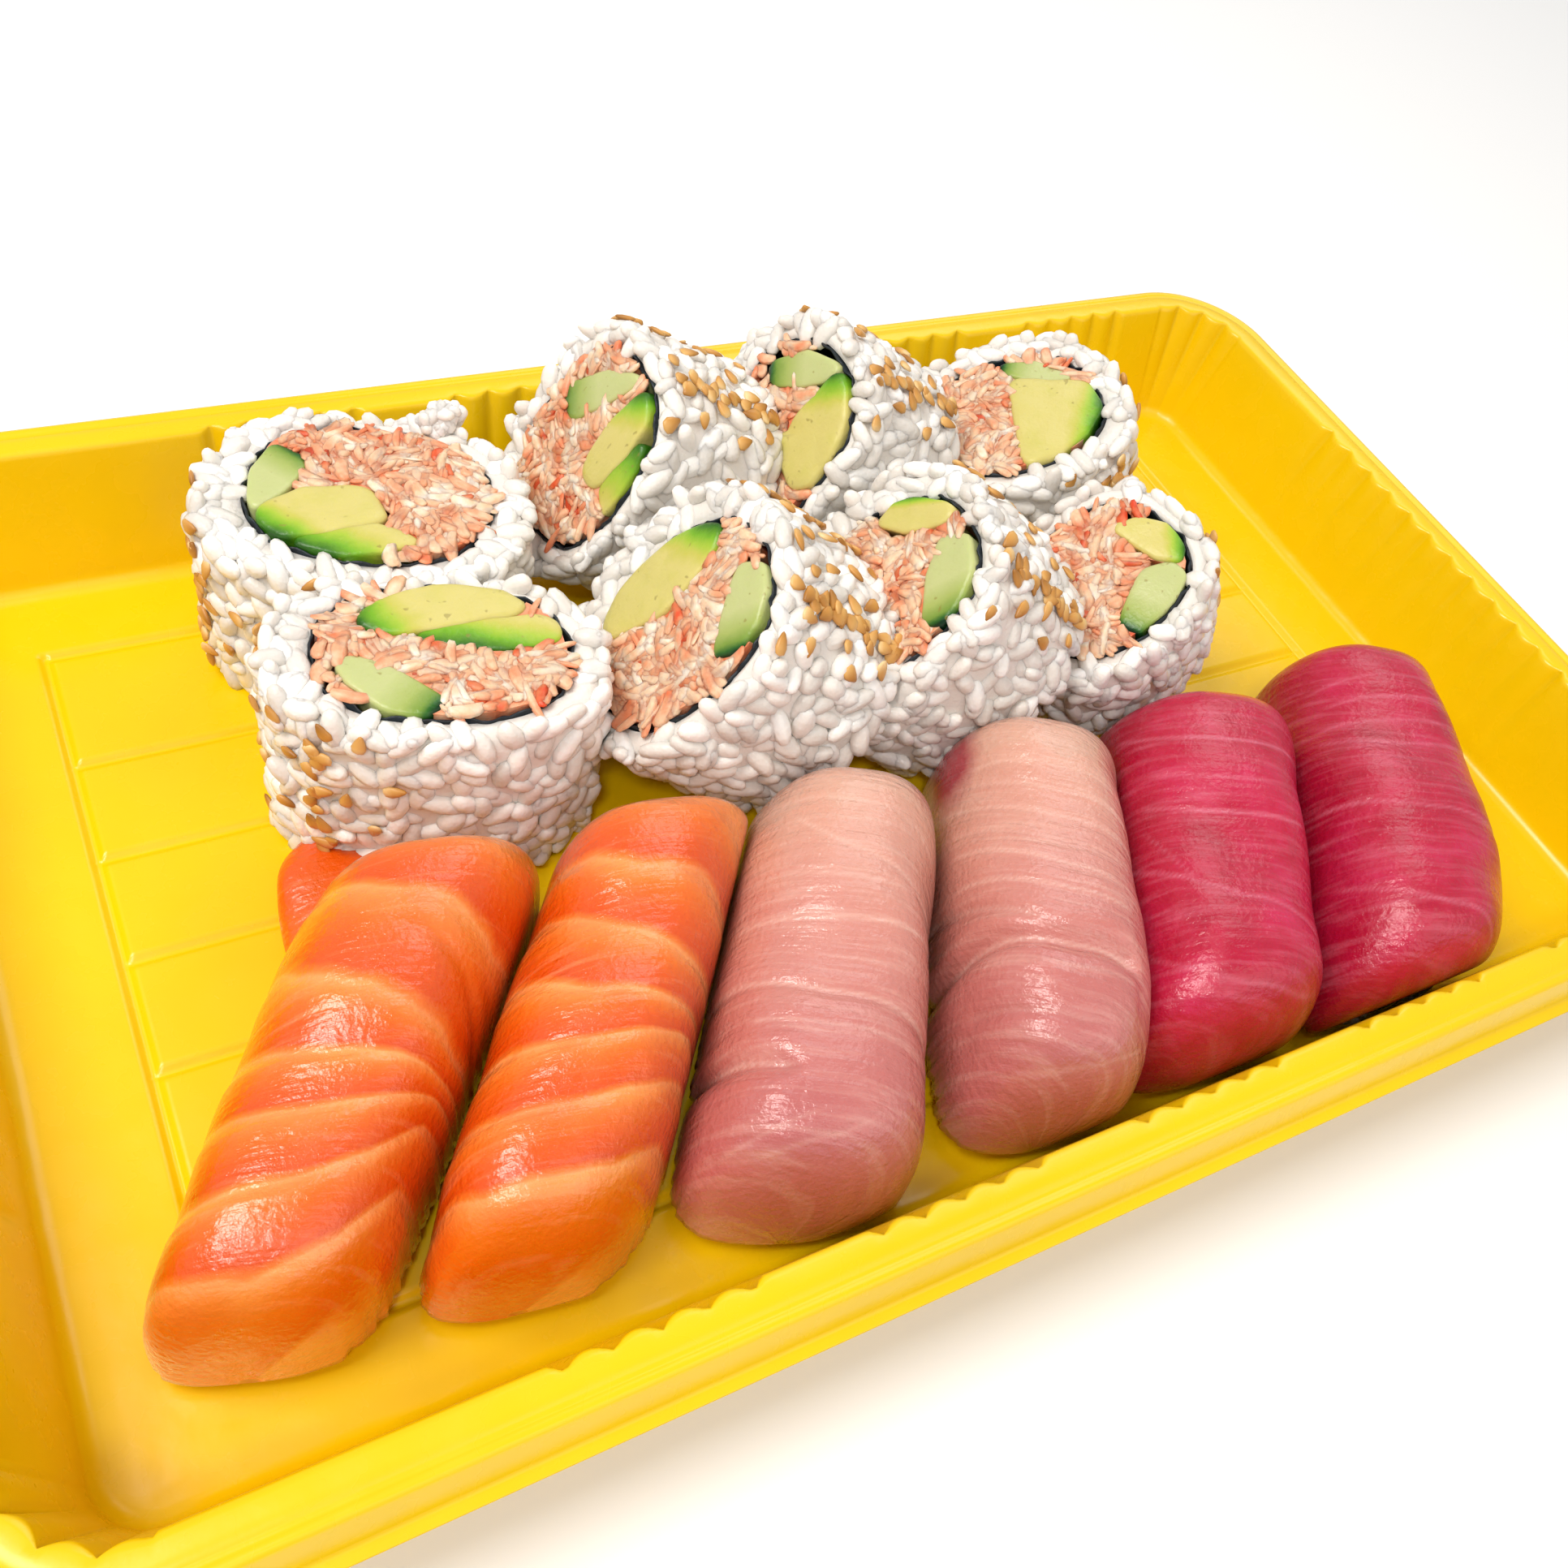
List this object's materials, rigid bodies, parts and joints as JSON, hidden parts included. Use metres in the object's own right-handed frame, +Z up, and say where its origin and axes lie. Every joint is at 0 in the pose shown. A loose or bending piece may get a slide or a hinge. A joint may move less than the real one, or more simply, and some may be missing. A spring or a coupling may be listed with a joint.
{
  "type": "takeaway sushi tray",
  "caption": "Shallow fluted plastic takeaway tray filled with sesame inside-out rolls leaning in two rows and a front row of fish nigiri",
  "frame": {"origin": "middle of the face the tray rests on, at the centre of its outline", "axes": "+X along the tray's long side, +Y from the front wall by the nigiri to the back wall by the rolls, +Z up"},
  "size_m": [0.276, 0.1724, 0.0509],
  "materials": {
    "yellow_plastic": "glossy",
    "rice": "moist, satin",
    "nori": "matt",
    "crab": "moist, satin",
    "avocado": "satin",
    "cucumber": "moist, satin",
    "salmon": "wet, glossy",
    "yellowtail": "wet, glossy",
    "tuna": "wet, glossy"
  },
  "bodies": {
    "root": {"tray": "yellow_plastic", "roll_1_rice": "rice", "roll_1_nori": "nori", "roll_1_crab": "crab", "roll_1_avocado_a": "avocado", "roll_1_avocado_b": "avocado", "roll_1_cucumber": "cucumber", "roll_2_rice": "rice", "roll_2_nori": "nori", "roll_2_crab": "crab", "roll_2_avocado_a": "avocado", "roll_2_avocado_b": "avocado", "roll_2_cucumber": "cucumber", "roll_3_rice": "rice", "roll_3_nori": "nori", "roll_3_crab": "crab", "roll_3_avocado_a": "avocado", "roll_3_cucumber": "cucumber", "roll_4_rice": "rice", "roll_4_nori": "nori", "roll_4_crab": "crab", "roll_4_avocado_a": "avocado", "roll_4_cucumber": "cucumber", "roll_5_rice": "rice", "roll_5_nori": "nori", "roll_5_crab": "crab", "roll_5_avocado_a": "avocado", "roll_5_avocado_b": "avocado", "roll_5_cucumber": "cucumber", "roll_6_rice": "rice", "roll_6_nori": "nori", "roll_6_crab": "crab", "roll_6_avocado_a": "avocado", "roll_6_cucumber": "cucumber", "roll_7_rice": "rice", "roll_7_nori": "nori", "roll_7_crab": "crab", "roll_7_avocado_a": "avocado", "roll_7_cucumber": "cucumber", "roll_8_rice": "rice", "roll_8_nori": "nori", "roll_8_crab": "crab", "roll_8_avocado_a": "avocado", "roll_8_cucumber": "cucumber", "salmon_1_fish": "salmon", "salmon_1_rice": "rice", "salmon_2_fish": "salmon", "salmon_2_rice": "rice", "yellowtail_1_fish": "yellowtail", "yellowtail_1_rice": "rice", "yellowtail_2_fish": "yellowtail", "yellowtail_2_rice": "rice", "tuna_1_fish": "tuna", "tuna_1_rice": "rice", "tuna_2_fish": "tuna", "tuna_2_rice": "rice"}
  },
  "joints": []
}
